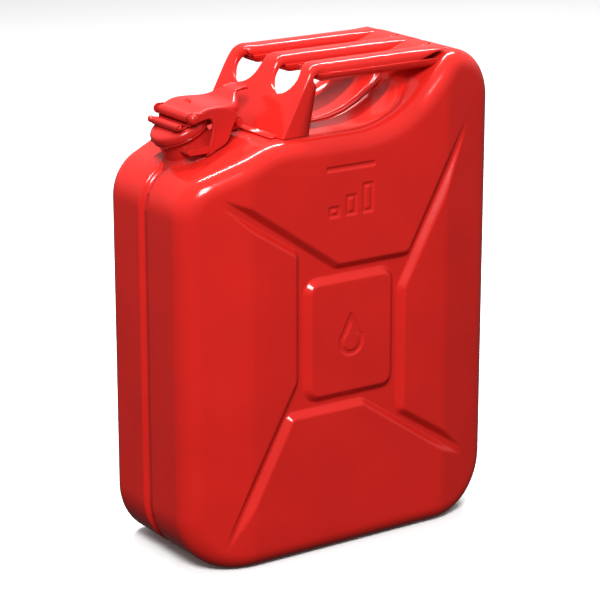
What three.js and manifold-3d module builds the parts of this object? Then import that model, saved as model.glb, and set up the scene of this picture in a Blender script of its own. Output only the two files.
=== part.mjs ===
// Pressed-steel 20 litre fuel can with a cam-lever cap. Millimetres, +Z up.
// Origin: centre of the base. X runs along the width, with the filler neck at -X
// and the rear hump of the handle at +X. Y is the thickness; the can is two
// pressed half shells welded on the plane y = 0.
import * as THREE from 'three';
import { mergeVertices } from 'three/addons/utils/BufferGeometryUtils.js';
import Module from 'manifold-3d';

const wasm = await Module();
wasm.setup();

// ---------------------------------------------------------------- driving dimensions
const GAP = 0.3; // clearance left between touching pieces
const SHEET = 0.9; // body sheet thickness

const WIDTH = 350;
const THICKNESS = 165;
const TOP = 469.7; // top of the handle

// Half shell
const HALF_W = WIDTH / 2;
const HALF_T = THICKNESS / 2;
const FACE_FLAT_X = 110; // the big face is flat up to here, then slopes to the ends
const FACE_SLOPE = 0.25; // loss of half thickness per millimetre past the flat
const EDGE_R = 18; // rounding between face and narrow side
const GROOVE_DEPTH = 5; // seam groove round the middle
const GROOVE_HALF = 4; // half width of the groove floor
const GROOVE_TOP_HALF = 6.5; // half width at the groove's mouth
const DECK_Z = 404.5; // top deck under the handle
const BOTTOM_R = 58;

// Pressed X channels on each face, about the point (0, CHANNEL_Z)
const CHANNEL_Z = 212;
const CHANNEL_DEPTH = 6;
const PANEL = { halfX: 47.5, halfZ: 56.5, r: 12 };

// Handle
const BAR = { y: 53, w: 24, h: 14, wall: 1.2, x0: -31, x1: 106 };
const REAR_PLATE = { x0: 82, x1: 122, t: 1.6 };
const HANDLE_HALF_Y = 65;
const BRACKET_T = 1.6;
const BRACKET_HALF_Y = 68;

// Filler neck frame: origin on the shoulder, tilted towards -X
const NECK = { x: -123.7, z: 388.7, tilt: THREE.MathUtils.degToRad(25.5), r: 23.5, t: 1.5, top: 28.6 };
const CAP = { r: 27.5, rim: 24, top: 33, t: 1.2 };
const YOKE_T = 1.2;
const WELD_LEG = 3.6;

// Closure pivots, in the world frame
const HINGE = { x: -83, z: 414, r: 2.5 };
const LUG = { x: -127, z: 397, r: 3.5, noseX: -144, noseZ: 395.5, noseR: 2, y0: 20, y1: 33.2 };

// Closure pivots, in the neck frame
const PIVOT = { x: 2.8, z: 39.4, r: 2.1, knuckle: 4.6 };
const LOCK = { x: -10, z: 36.3, r: 1.5, loop: 2.6 };

// Closure widths along Y
const CHEEK = { y0: 29.6, y1: 31.1 };
const EAR = { y0: 16, y1: 17.6 };
const YOKE = { halfY: 23, earY: 25.8, knuckleY: 15.6 };
const LEVER_T = 1.3;
const RIVET_Y = 11;

// ---------------------------------------------------------------- materials
const paint = new THREE.MeshStandardMaterial({ color: 0xc8141b, roughness: 0.3, metalness: 0.1 });
const paintDark = new THREE.MeshStandardMaterial({ color: 0xa80f15, roughness: 0.4, metalness: 0.1 });
const rubber = new THREE.MeshStandardMaterial({ color: 0x1b1b1c, roughness: 0.8, metalness: 0 });
const liner = new THREE.MeshStandardMaterial({ color: 0x8f9294, roughness: 0.45, metalness: 0.9 });

// ---------------------------------------------------------------- solid helpers
function toSolid(geometry) {
  let g = geometry.clone();
  for (const name of Object.keys(g.attributes)) if (name !== 'position') g.deleteAttribute(name);
  g = mergeVertices(g, 1e-4);
  return new wasm.Manifold(new wasm.Mesh({
    numProp: 3,
    vertProperties: new Float32Array(g.attributes.position.array),
    triVerts: new Uint32Array(g.index.array),
  }));
}

function toGeometry(solid) {
  const mesh = solid.getMesh();
  const g = new THREE.BufferGeometry();
  g.setAttribute('position', new THREE.BufferAttribute(new Float32Array(mesh.vertProperties), 3));
  g.setIndex(new THREE.BufferAttribute(new Uint32Array(mesh.triVerts), 1));
  return g;
}

const join = (...geometries) => toGeometry(geometries.map(toSolid).reduce((a, b) => a.add(b)));
const cut = (base, ...tools) => toGeometry(tools.map(toSolid).reduce((a, b) => a.subtract(b), toSolid(base)));

// A box given by its low and high corners
function box(x0, y0, z0, x1, y1, z1) {
  const g = new THREE.BoxGeometry(x1 - x0, y1 - y0, z1 - z0);
  return g.translate((x0 + x1) / 2, (y0 + y1) / 2, (z0 + z1) / 2);
}

// A shape drawn in X-Z, extruded from y0 to y1
function plateXZ(shape, y0, y1) {
  const g = new THREE.ExtrudeGeometry(shape, { depth: y1 - y0, bevelEnabled: false, curveSegments: 6 });
  g.rotateX(Math.PI / 2); // shape Y becomes +Z, extrusion runs to -Y
  return g.translate(0, y1, 0);
}

// A round bar along Y
function rodY(x, z, r, y0, y1, sides = 16) {
  const g = new THREE.CylinderGeometry(r, r, y1 - y0, sides);
  return g.translate(x, (y0 + y1) / 2, z);
}

// A closed outline from corner points [x, z, radius], each corner rounded by its radius
function roundedOutline(corners, chord = 9, most = 12) {
  const points = [];
  corners.forEach(([x, z, r], i) => {
    const here = new THREE.Vector2(x, z);
    const before = corners.at(i - 1);
    const after = corners[(i + 1) % corners.length];
    const a = new THREE.Vector2(before[0], before[1]).sub(here).normalize();
    const b = new THREE.Vector2(after[0], after[1]).sub(here).normalize();
    const half = Math.acos(THREE.MathUtils.clamp(a.dot(b), -1, 1)) / 2;
    if (!r) {
      points.push(here);
      return;
    }
    const centre = a.clone().add(b).normalize().multiplyScalar(r / Math.sin(half)).add(here);
    const from = a.clone().multiplyScalar(r / Math.tan(half)).add(here).sub(centre);
    const to = b.clone().multiplyScalar(r / Math.tan(half)).add(here).sub(centre);
    const sweep = Math.atan2(from.cross(to), from.dot(to));
    const steps = THREE.MathUtils.clamp(Math.round(Math.abs(sweep) * r / chord), 2, most);
    for (let s = 0; s <= steps; s += 1) {
      points.push(from.clone().rotateAround(new THREE.Vector2(), sweep * s / steps).add(centre));
    }
  });
  return points;
}

// The outline moved inwards by d (counter-clockwise outline)
function inset(points, d) {
  return points.map((p, i) => {
    const a = points.at(i - 1);
    const b = points[(i + 1) % points.length];
    const n1 = new THREE.Vector2(-(p.y - a.y), p.x - a.x).normalize();
    const n2 = new THREE.Vector2(-(b.y - p.y), b.x - p.x).normalize();
    const n = n1.clone().add(n2).normalize();
    return n.multiplyScalar(d / Math.max(0.5, n.dot(n1))).add(p);
  });
}

// ---------------------------------------------------------------- half shells
// Side outline of the can, counter-clockwise from the front bottom corner
const CAN_CORNERS = [
  [-HALF_W, 0, BOTTOM_R],
  [HALF_W, 0, BOTTOM_R],
  [HALF_W, 454.5, 50],
  [121, 469, 24],
  [56, DECK_Z, 108],
  [-80, DECK_Z, 80],
  [-HALF_W, 370, 42],
];

const faceY = (x) => HALF_T - FACE_SLOPE * Math.max(0, Math.abs(x) - FACE_FLAT_X);

// Solid of one half can with its skin set in by t; y runs from yStart to the face
function halfBody(t, yStart) {
  const outline = roundedOutline(CAN_CORNERS, 16, 7);
  const rings = [
    [GROOVE_DEPTH + t, () => yStart],
    [GROOVE_DEPTH + t, () => GROOVE_HALF + t * 0.4],
    [t, () => GROOVE_TOP_HALF + t * 0.4],
  ];
  const roundSteps = 3;
  for (let s = 0; s <= roundSteps; s += 1) {
    const phi = (Math.PI / 2) * (s / roundSteps);
    const r = EDGE_R - t;
    rings.push([t + r * (1 - Math.cos(phi)), (x) => faceY(x) - t - r * (1 - Math.sin(phi))]);
  }
  const loops = rings.map(([d, yOf]) => inset(outline, d).map((p) => new THREE.Vector3(p.x, yOf(p.x), p.y)));
  return closeLoops(loops, [-FACE_FLAT_X, FACE_FLAT_X]);
}

// Joins matching loops into one closed body. The first loop gets a flat cap; the last
// is capped in strips that meet along the bend lines x = split
function closeLoops(loops, splits) {
  const positions = [];
  const n = loops[0].length;
  const tri = (a, b, c) => positions.push(a.x, a.y, a.z, b.x, b.y, b.z, c.x, c.y, c.z);
  // a fan of triangles about one point inside the cap
  const cap = (loop, x, y, flip) => {
    const centre = new THREE.Vector3(x, y, CHANNEL_Z);
    loop.forEach((p, i) => {
      const q = loop[(i + 1) % loop.length];
      if (flip) tri(centre, q, p);
      else tri(centre, p, q);
    });
  };
  const last = loops.at(-1);
  const bendY = Math.max(...last.map((p) => p.y));
  const rim = [];
  for (let k = 0; k + 1 < loops.length; k += 1) {
    for (let i = 0; i < n; i += 1) {
      const j = (i + 1) % n;
      const far = [loops[k + 1][i], loops[k + 1][j]];
      if (loops[k + 1] === last) {
        const [from, to] = far;
        const bends = splits
          .map((x) => ({ x, f: (x - from.x) / (to.x - from.x) }))
          .filter(({ f }) => f > 0 && f < 1)
          .sort((a, b) => a.f - b.f)
          .map(({ x, f }) => new THREE.Vector3(x, bendY, THREE.MathUtils.lerp(from.z, to.z, f)));
        far.splice(1, 0, ...bends);
        rim.push(...far.slice(0, -1));
      }
      for (let m = 0; m + 1 < far.length; m += 1) tri(loops[k][i], far[m], far[m + 1]);
      tri(loops[k][i], far.at(-1), loops[k][j]);
    }
  }
  cap(loops[0], 0, loops[0][0].y, false);
  const bounds = [-HALF_W, ...splits, HALF_W];
  for (let s = 0; s + 1 < bounds.length; s += 1) {
    const strip = rim.filter((p) => p.x >= bounds[s] - 1e-6 && p.x <= bounds[s + 1] + 1e-6);
    const x = (bounds[s] + bounds[s + 1]) / 2;
    cap(strip, x, bendY - HALF_T + faceY(x), true);
  }
  const g = new THREE.BufferGeometry();
  g.setAttribute('position', new THREE.Float32BufferAttribute(positions, 3));
  return g;
}

// Outline of the X channels in the face plane: a pinwheel between the raised panels
const CHANNEL_HALF = [
  [-13, 70, 8],
  [62.5, 70, 8],
  [138, 186, 1],
  [138, 170.3, 1],
  [60.5, 27.4, 8],
  [62, -86, 8],
  [138, -139, 1],
  [138, -150, 1],
];

// Cutting body of the channels on the +Y face, grown by t for the inside of the sheet
function channelCutter(t) {
  const opposite = CHANNEL_HALF.map(([x, z, r]) => [-x, -z, r]);
  const corners = [...CHANNEL_HALF, ...opposite].reverse().map(([x, z, r]) => [x, z + CHANNEL_Z, r]);
  const outline = inset(roundedOutline(corners, 6, 3), -t);
  const floorY = HALF_T - CHANNEL_DEPTH - t;
  const channels = plateXZ(new THREE.Shape(outline), floorY, HALF_T + 5);
  const halfX = PANEL.halfX - t;
  const halfZ = PANEL.halfZ - t;
  const panel = roundedOutline([
    [-halfX, CHANNEL_Z - halfZ, PANEL.r],
    [halfX, CHANNEL_Z - halfZ, PANEL.r],
    [halfX, CHANNEL_Z + halfZ, PANEL.r],
    [-halfX, CHANNEL_Z + halfZ, PANEL.r],
  ], 6, 3);
  return cut(channels, plateXZ(new THREE.Shape(panel), floorY - 1, HALF_T + 6));
}

// Places a piece drawn in the neck frame
function inNeckFrame(geometry) {
  return geometry.rotateY(-NECK.tilt).translate(NECK.x, 0, NECK.z);
}

// A turned piece about the neck axis from [radius, height] points
function turned(profile, segments = 32) {
  const points = profile.map(([r, z]) => new THREE.Vector2(r, z));
  if (THREE.ShapeUtils.area(points) < 0) points.reverse();
  return new THREE.LatheGeometry(points, segments).rotateX(Math.PI / 2);
}

function mirrorY(geometry) {
  const g = toGeometry(toSolid(geometry)).scale(1, -1, 1);
  const index = g.index.array;
  for (let i = 0; i < index.length; i += 3) [index[i + 1], index[i + 2]] = [index[i + 2], index[i + 1]];
  return g;
}

// Round cutter along the neck axis
const neckCore = (r) => inNeckFrame(turned([[0, -20], [r, -20], [r, 40], [0, 40]]));

function leftShell() {
  const outside = cut(halfBody(0, GAP / 2), channelCutter(0));
  const inside = cut(halfBody(SHEET, -2), channelCutter(SHEET));
  return cut(outside, inside, neckCore(NECK.r + GAP));
}

// Weld bead in the bottom of the seam groove, broken only by the neck
function seamWeld() {
  const outline = roundedOutline(CAN_CORNERS, 16, 7);
  const shape = new THREE.Shape(inset(outline, GROOVE_DEPTH - 1.6));
  shape.holes.push(new THREE.Path(inset(outline, GROOVE_DEPTH - GAP)));
  return cut(plateXZ(shape, -2.2, 2.2), neckCore(NECK.r + WELD_LEG + GAP));
}

// ---------------------------------------------------------------- handle
// Front bracket: a leaning plate with two windows, side flanges and a foot
function frontBracket() {
  const t = BRACKET_T;
  const bottom = DECK_Z + GAP;
  const profile = new THREE.Shape([
    [-68, bottom], [-66.2, bottom], [-37.4, 459], [-34.8, 464], [-31.5, TOP - t],
    [-31.5, TOP], [-36.2, 465.3], [-39, 459.7],
  ].map(([x, z]) => new THREE.Vector2(x, z)));
  const foot = box(-74, -60, bottom, -67.5, 60, bottom + t);
  const flange = (y) => plateXZ(new THREE.Shape([
    [-67.8, bottom], [-39, bottom], [-29.5, 449.5], [-33, 454.5], [-38.8, 459.5],
  ].map(([x, z]) => new THREE.Vector2(x, z))), y - t / 2, y + t / 2);
  const side = BRACKET_HALF_Y - t / 2;
  const plate = join(plateXZ(profile, -BRACKET_HALF_Y, BRACKET_HALF_Y), foot, flange(-side), flange(side));
  const window = handleWindow();
  return cut(plate, window, mirrorY(window));
}

// The teardrop opening between two bars on the +Y side, cut right through along X
function handleWindow() {
  const outline = roundedOutline([
    [12, 480, 0], [12.5, 456, 12], [22, 439, 10], [42, 439, 10], [52, 458, 10], [44, 480, 0],
  ], 4, 4);
  const g = new THREE.ExtrudeGeometry(new THREE.Shape(outline), { depth: 40, bevelEnabled: false });
  return g.rotateX(Math.PI / 2).rotateZ(Math.PI / 2).translate(-70, 0, 0);
}

// One hollow bar: a flattened tube along X, stepped down under the rear plate
function handleBar(y) {
  const loop = (w, h) => {
    const r = h * 0.85;
    return roundedOutline([[-w, -h, r], [w, -h, r], [w, h, r], [-w, h, r]], 2.5, 4);
  };
  const section = new THREE.Shape(loop(BAR.w / 2, BAR.h / 2));
  section.holes.push(new THREE.Path(loop(BAR.w / 2 - BAR.wall, BAR.h / 2 - BAR.wall)));
  const g = new THREE.ExtrudeGeometry(section, { depth: BAR.x1 - BAR.x0, bevelEnabled: false });
  g.rotateX(Math.PI / 2).rotateZ(Math.PI / 2).translate(BAR.x0, y, TOP - BAR.h / 2);
  const underPlate = box(REAR_PLATE.x0 - GAP, y - 20, TOP - REAR_PLATE.t - GAP, BAR.x1 + 5, y + 20, TOP + 5);
  return cut(g, underPlate);
}

function rearPlate() {
  const { x0, x1, t } = REAR_PLATE;
  return box(x0, -HANDLE_HALF_Y, TOP - t, x1, HANDLE_HALF_Y, TOP);
}

// ---------------------------------------------------------------- filler neck
function fillerNeck() {
  const { r, t, top } = NECK;
  return inNeckFrame(turned([
    [r - t, -12], [r, -12], [r, top - 2], [r + 1.6, top - 1.2], [r + 1.8, top],
    [r - t + 0.4, top], [r - t, top - 1], [r - t, -12],
  ]));
}

// Fillet weld between neck and shoulder
function neckWeld() {
  const inner = NECK.r + GAP;
  const outer = NECK.r + WELD_LEG;
  const ring = inNeckFrame(turned([[inner, -9], [outer, -9], [outer, 1], [inner, 4.8], [inner, -9]]));
  const body = halfBody(-GAP, -1);
  return cut(ring, body, mirrorY(body));
}

// Air pipe from the neck to the air space in the hump
function breatherTube() {
  const route = [[-126, 384], [-112, 374], [-60, 380], [20, 384], [66, 396], [103, 432]];
  const path = new THREE.CatmullRomCurve3(route.map(([x, z]) => new THREE.Vector3(x, 0, z)));
  const section = new THREE.Shape().absarc(0, 0, 5, 0, Math.PI * 2);
  section.holes.push(new THREE.Path().absarc(0, 0, 4.2, 0, Math.PI * 2));
  const options = { extrudePath: path, steps: 24, curveSegments: 5, bevelEnabled: false };
  return new THREE.ExtrudeGeometry(section, options);
}

// Points of an arc about (x, z), angles in degrees from +X
function arcPoints(x, z, r, from, to, steps) {
  return Array.from({ length: steps + 1 }, (_, i) => {
    const angle = THREE.MathUtils.degToRad(from + (to - from) * i / steps);
    return new THREE.Vector2(x + r * Math.cos(angle), z + r * Math.sin(angle));
  });
}

const shapeOf = (corners) => new THREE.Shape(roundedOutline(corners, 3, 4));

// Strap round the neck with the two hinge ears behind and a lug on each side
function neckBracket() {
  const { r } = NECK;
  const band = inNeckFrame(turned([[r + GAP, 9], [r + 1.8, 9], [r + 1.8, 15], [r + GAP, 15], [r + GAP, 9]]));
  const ear = shapeOf([
    [-117, 409, 0], [-114, 402.5, 0], [-82, 408.4, 4], [-77.6, 412, 4], [-78, 419, 4.4], [-87, 419, 4.4],
  ]);
  const lug = new THREE.Shape([
    ...arcPoints(LUG.x, LUG.z, LUG.r, -95, 85, 7),
    ...arcPoints(LUG.noseX, LUG.noseZ, LUG.noseR, 90, 265, 4),
  ]);
  const solid = join(
    band,
    plateXZ(ear, -EAR.y1, -EAR.y0),
    plateXZ(ear, EAR.y0, EAR.y1),
    plateXZ(lug, -LUG.y1, -LUG.y0),
    plateXZ(lug, LUG.y0, LUG.y1),
  );
  return cut(solid, neckCore(r + GAP), rodY(HINGE.x, HINGE.z, HINGE.r + GAP, -20, 20));
}

const hingePin = () => join(
  rodY(HINGE.x, HINGE.z, HINGE.r, -19.5, 19.5),
  rodY(HINGE.x, HINGE.z, HINGE.r + 1.4, -20.6, -EAR.y1 - GAP),
  rodY(HINGE.x, HINGE.z, HINGE.r + 1.4, EAR.y1 + GAP, 20.6),
);

// ---------------------------------------------------------------- cap
function capShell() {
  const { r, rim, top, t } = CAP;
  return inNeckFrame(turned([
    [0, top], [r - 6, top], [r - 2.2, top - 1.2], [r - 0.4, top - 3.4], [r, rim + 1.5], [r + 0.3, rim],
    [r - t, rim], [r - t - 0.3, top - 3], [r - 4.5, top - t], [0, top - t], [0, top],
  ]));
}

function capGasket() {
  const z = CAP.top - CAP.t - GAP;
  const outer = NECK.r + 1.1;
  const inner = NECK.r - 6;
  const low = NECK.top + GAP;
  return inNeckFrame(turned([
    [inner, low], [outer, low], [outer, low + 0.8], [outer - 2.2, z], [inner, z], [inner, low],
  ]));
}

// Disc that holds the gasket against the cap
function gasketRetainer() {
  const z = CAP.top - CAP.t - GAP;
  const r = NECK.r - 6 - GAP;
  return inNeckFrame(turned([[0, z - 1.5], [r - 1, z - 1.5], [r, z - 1], [r, z], [0, z], [0, z - 1.5]]));
}

// Pressed strap over the cap: hinge knuckle behind, pivot ears, rolled front edge
function capYoke() {
  const low = CAP.top + GAP;
  const high = low + YOKE_T;
  const plate = box(LOCK.x, -YOKE.halfY, low, 25.5, YOKE.halfY, high);
  const crosspiece = box(PIVOT.x - 5, -YOKE.earY - 0.9, low, PIVOT.x + 5, YOKE.earY + 0.9, high);
  const roll = rodY(LOCK.x, LOCK.z, LOCK.loop, -YOKE.halfY, YOKE.halfY, 20);
  const earShape = new THREE.Shape([
    ...arcPoints(PIVOT.x, PIVOT.z, 3.8, -20, 200, 10),
    new THREE.Vector2(PIVOT.x - 5, low),
    new THREE.Vector2(PIVOT.x + 5, low),
  ]);
  const ears = [-1, 1].map((side) => {
    const y = side * YOKE.earY;
    return plateXZ(earShape, y - 0.9, y + 0.9);
  });
  const h = new THREE.Vector2(HINGE.x - NECK.x, HINGE.z - NECK.z)
    .rotateAround(new THREE.Vector2(), -NECK.tilt);
  const arm = new THREE.Shape([
    new THREE.Vector2(20, low), new THREE.Vector2(27.6, low), new THREE.Vector2(30.4, low - 4),
    new THREE.Vector2(h.x - 3.8, h.y - 2), new THREE.Vector2(h.x + 2, h.y + 3.5),
    new THREE.Vector2(32, low - 1.6), new THREE.Vector2(28.4, high), new THREE.Vector2(20, high),
  ]);
  const knuckle = rodY(h.x, h.y, 4.8, -YOKE.knuckleY, YOKE.knuckleY, 20);
  const solid = join(plate, crosspiece, roll, ...ears, plateXZ(arm, -YOKE.knuckleY, YOKE.knuckleY), knuckle);
  return inNeckFrame(cut(
    solid,
    rodY(LOCK.x, LOCK.z, LOCK.r + GAP, -30, 30),
    rodY(PIVOT.x, PIVOT.z, PIVOT.r + GAP, -30, 30),
    rodY(h.x, h.y, HINGE.r + GAP, -30, 30),
  ));
}

// Rivet head that holds the yoke on the cap
function capRivet(y) {
  const z = CAP.top + GAP + YOKE_T + GAP;
  return inNeckFrame(turned([[0, z], [2.8, z], [2.4, z + 1], [1.2, z + 1.5], [0, z + 1.6], [0, z]], 16)
    .translate(15, y, 0));
}

const leverPin = () => inNeckFrame(join(
  rodY(PIVOT.x, PIVOT.z, PIVOT.r, -32.5, 32.5),
  rodY(PIVOT.x, PIVOT.z, PIVOT.r + 1.2, -33.6, -CHEEK.y1 - GAP),
  rodY(PIVOT.x, PIVOT.z, PIVOT.r + 1.2, CHEEK.y1 + GAP, 33.6),
));

// Locking pin through the rolled edge, with a ball grip on its far end
function lockingPin() {
  const ball = new THREE.SphereGeometry(3.2, 16, 10).translate(LOCK.x, YOKE.halfY + 3.4, LOCK.z);
  return inNeckFrame(join(rodY(LOCK.x, LOCK.z, LOCK.r, -YOKE.halfY - 1.2, YOKE.halfY + 3), ball));
}

// ---------------------------------------------------------------- cam lever
// Channel-shaped lever: top plate, curled front edge, two cheeks with hooks, thumb tab
function camLever() {
  const b = new THREE.Vector2(PIVOT.x, PIVOT.z).rotateAround(new THREE.Vector2(), NECK.tilt)
    .add(new THREE.Vector2(NECK.x, NECK.z));
  const t = LEVER_T;
  const top = [[b.x + 3.6, b.y + 5.2], [-121, 434], [-98, 433.6], [-87, 436.2]];
  const tab = [[-88, 435.9], [-79, 442.2], [-66, 443.6]];
  const strip = (path) => new THREE.Shape([
    ...path.map(([x, z]) => new THREE.Vector2(x, z)),
    ...[...path].reverse().map(([x, z]) => new THREE.Vector2(x + 0.2, z - t)),
  ]);
  const curl = new THREE.Shape([
    ...arcPoints(b.x, b.y, PIVOT.knuckle, 60, 215, 12),
    ...arcPoints(b.x, b.y, PIVOT.knuckle - t, 215, 60, 12),
  ]);
  const cheek = new THREE.Shape([
    ...arcPoints(b.x, b.y, 4.8, 250, 80, 8),
    new THREE.Vector2(-121, 433.8),
    new THREE.Vector2(-98, 433.4),
    new THREE.Vector2(-87, 436),
    new THREE.Vector2(-85, 431),
    new THREE.Vector2(-90, 421),
    new THREE.Vector2(-97, 414.5),
    new THREE.Vector2(-100.5, 405),
    new THREE.Vector2(-103, 399.4),
    new THREE.Vector2(-114, 395),
    new THREE.Vector2(LUG.x + 1.6, LUG.z - 7.1),
    ...arcPoints(LUG.x, LUG.z, LUG.r + 1.2, -70, 10, 5),
    new THREE.Vector2(-120.5, 406),
    new THREE.Vector2(-119, 416.5),
    new THREE.Vector2(-122, 418),
  ]);
  const rolled = new THREE.CylinderGeometry(1.9, 1.9, 16, 12).translate(-66.2, 0, 441.9);
  const solid = join(
    plateXZ(strip(top), -CHEEK.y1, CHEEK.y1),
    plateXZ(curl, -YOKE.earY + 1.6, YOKE.earY - 1.6),
    plateXZ(strip([[b.x + 2, b.y + 4.4], [b.x + 5, b.y + 5.3]]), -YOKE.earY + 1.6, YOKE.earY - 1.6),
    plateXZ(strip(tab), -13, 13),
    rolled,
    plateXZ(cheek, -CHEEK.y1, -CHEEK.y0),
    plateXZ(cheek, CHEEK.y0, CHEEK.y1),
  );
  return cut(solid, rodY(b.x, b.y, PIVOT.r + GAP, -40, 40));
}

// ---------------------------------------------------------------- assembly
const can = new THREE.Group();

function add(name, geometry, material) {
  const mesh = new THREE.Mesh(geometry, material);
  mesh.name = name;
  can.add(mesh);
}

const left = leftShell();
add('left_shell', left, paint);
add('right_shell', mirrorY(left), paint);
add('seam_weld', seamWeld(), paint);
add('filler_neck', fillerNeck(), paint);
add('neck_weld', neckWeld(), paint);
add('breather_tube', breatherTube(), liner);
add('handle_front_bracket', frontBracket(), paint);
add('handle_bar_left', handleBar(BAR.y), paint);
add('handle_bar_middle', handleBar(0), paint);
add('handle_bar_right', handleBar(-BAR.y), paint);
add('handle_rear_plate', rearPlate(), paint);
add('neck_bracket', neckBracket(), paintDark);
add('hinge_pin', hingePin(), paintDark);
add('cap_shell', capShell(), paint);
add('cap_gasket', capGasket(), rubber);
add('gasket_retainer', gasketRetainer(), liner);
add('cap_yoke', capYoke(), paintDark);
add('cap_rivet_left', capRivet(RIVET_Y), paintDark);
add('cap_rivet_right', capRivet(-RIVET_Y), paintDark);
add('lever_pin', leverPin(), paintDark);
add('cam_lever', camLever(), paintDark);
add('locking_pin', lockingPin(), paintDark);

export default can;
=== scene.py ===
"""Looks of the 20 litre pressed-steel fuel can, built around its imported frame.

Every shape is worked out in millimetres in the frame of the CAD model and written in metres.
"""

import math
import random

import bmesh
import bpy
import numpy as np
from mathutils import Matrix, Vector
from mathutils.geometry import delaunay_2d_cdt


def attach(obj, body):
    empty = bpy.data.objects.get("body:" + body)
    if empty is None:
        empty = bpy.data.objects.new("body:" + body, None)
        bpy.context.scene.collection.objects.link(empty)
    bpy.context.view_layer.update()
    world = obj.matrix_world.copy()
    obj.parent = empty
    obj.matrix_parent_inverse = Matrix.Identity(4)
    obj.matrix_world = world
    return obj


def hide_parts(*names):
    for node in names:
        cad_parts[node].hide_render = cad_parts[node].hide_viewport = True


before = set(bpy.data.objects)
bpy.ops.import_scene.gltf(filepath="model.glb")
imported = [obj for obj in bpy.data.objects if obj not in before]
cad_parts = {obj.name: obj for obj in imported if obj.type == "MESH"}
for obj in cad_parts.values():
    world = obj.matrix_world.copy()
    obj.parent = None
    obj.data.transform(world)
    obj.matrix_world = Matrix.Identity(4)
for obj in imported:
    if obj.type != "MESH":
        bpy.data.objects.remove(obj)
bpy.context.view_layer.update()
MM = 0.001

# ------------------------------------------------------------------ driving dimensions, mm
HALF_W = 175.0
HALF_T = 82.5
FACE_FLAT_X = 110.0
FACE_SLOPE = 0.25
EDGE_R = 18.0
DECK_Z = 404.5
GROOVE = 5.0
CHANNEL_Z = 212.0
CHANNEL_DEPTH = 6.0
CAN_CORNERS = [
    (-HALF_W, 0, 58), (HALF_W, 0, 58), (HALF_W, 454.5, 50), (121, 469, 24),
    (56, DECK_Z, 108), (-80, DECK_Z, 80), (-HALF_W, 370, 42),
]
CHANNEL_FLOOR_HALF = [
    (-16, 65.5, 11), (68.5, 65.5, 11), (138, 193, 1), (138, 183.7, 1),
    (56, 36.9, 14), (56, -88.5, 11), (138, -141, 1), (138, -149.5, 1),
]
NECK_X, NECK_Z, NECK_TILT = -123.7, 388.7, math.radians(25.5)
NECK_R = 23.5

# pressed into the big face: a box is its centre x and z, half width, half height and corner radius
PANEL = (0, CHANNEL_Z, 51, 60, 15)
LEVEL_LINE = (-1.5, 374, 27, 2.0, 1.2)
GAUGE_X, GAUGE_FOOT_Z, GAUGE_PITCH = -20, 328.5, 19
GAUGE_HEIGHTS = (10, 19, 28)
DROP_Z, DROP_R, DROP_RIM = CHANNEL_Z - 6, 13.5, 4.6


# ------------------------------------------------------------------ geometry helpers
def rounded(corners, step=2.5):
    """A closed outline from corners (x, z, radius), counter-clockwise, about step apart."""
    raw = []
    count = len(corners)
    for i, (x, z, r) in enumerate(corners):
        here = np.array([x, z], float)
        a = np.array(corners[i - 1][:2], float) - here
        b = np.array(corners[(i + 1) % count][:2], float) - here
        a /= np.linalg.norm(a)
        b /= np.linalg.norm(b)
        half = math.acos(np.clip(a @ b, -1, 1)) / 2
        centre = here + (a + b) / np.linalg.norm(a + b) * r / math.sin(half)
        start = here + a * r / math.tan(half) - centre
        end = here + b * r / math.tan(half) - centre
        sweep = math.atan2(start[0] * end[1] - start[1] * end[0], start @ end)
        steps = max(3, round(abs(sweep) * r / step))
        for s in range(steps + 1):
            t = sweep * s / steps
            c, k = math.cos(t), math.sin(t)
            raw.append(centre + np.array([c * start[0] - k * start[1], k * start[0] + c * start[1]]))
    points = []
    for i, p in enumerate(raw):
        q = raw[(i + 1) % len(raw)]
        gap = np.linalg.norm(q - p)
        pieces = max(1, round(gap / (step * 1.6)))
        points += [p + (q - p) * k / pieces for k in range(pieces)]
    return np.array(points)


def outward(points):
    """Unit normals of a closed counter-clockwise outline."""
    d = np.roll(points, -1, 0) - np.roll(points, 1, 0)
    d /= np.linalg.norm(d, axis=1)[:, None]
    return np.stack([d[:, 1], -d[:, 0]], 1)


def inside_distance(points, polygon):
    """Signed distance to a closed polygon, positive inside."""
    best = np.full(len(points), 1e9)
    crossing = np.zeros(len(points), int)
    for a, b in zip(polygon, np.roll(polygon, -1, 0)):
        ab = b - a
        t = np.clip(((points - a) @ ab) / max(ab @ ab, 1e-12), 0, 1)
        best = np.minimum(best, np.linalg.norm(points - a - t[:, None] * ab, axis=1))
        up = (a[1] <= points[:, 1]) != (b[1] <= points[:, 1])
        with np.errstate(divide="ignore", invalid="ignore"):
            xc = a[0] + (points[:, 1] - a[1]) / (b[1] - a[1]) * ab[0]
        crossing += up & (points[:, 0] < xc)
    return np.where(crossing % 2 == 1, best, -best)


def smooth_min(a, b, k):
    """The lower of two heights, with the crease between them rounded over about k."""
    h = np.clip(0.5 + 0.5 * (b - a) / k, 0, 1)
    return b + (a - b) * h - k * h * (1 - h)


def smooth_max(a, b, k):
    """The higher of two heights, with the crease rounded in the same way."""
    return -smooth_min(-a, -b, k)


def make(name, verts, faces, material, body, smooth=True):
    """A mesh object from vertices in mm, riding on a body."""
    mesh = bpy.data.meshes.new(name)
    mesh.from_pydata([tuple(v) for v in np.asarray(verts, float) * MM], [], [tuple(f) for f in faces])
    mesh.validate()
    mesh.update()
    for p in mesh.polygons:
        p.use_smooth = smooth
    obj = bpy.data.objects.new(name, mesh)
    bpy.context.scene.collection.objects.link(obj)
    mesh.materials.append(material)
    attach(obj, body)
    return obj


def modifier(obj, kind, **settings):
    """A new modifier with the given settings."""
    m = obj.modifiers.new(kind.lower(), kind)
    for key, value in settings.items():
        setattr(m, key, value)
    return m


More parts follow.
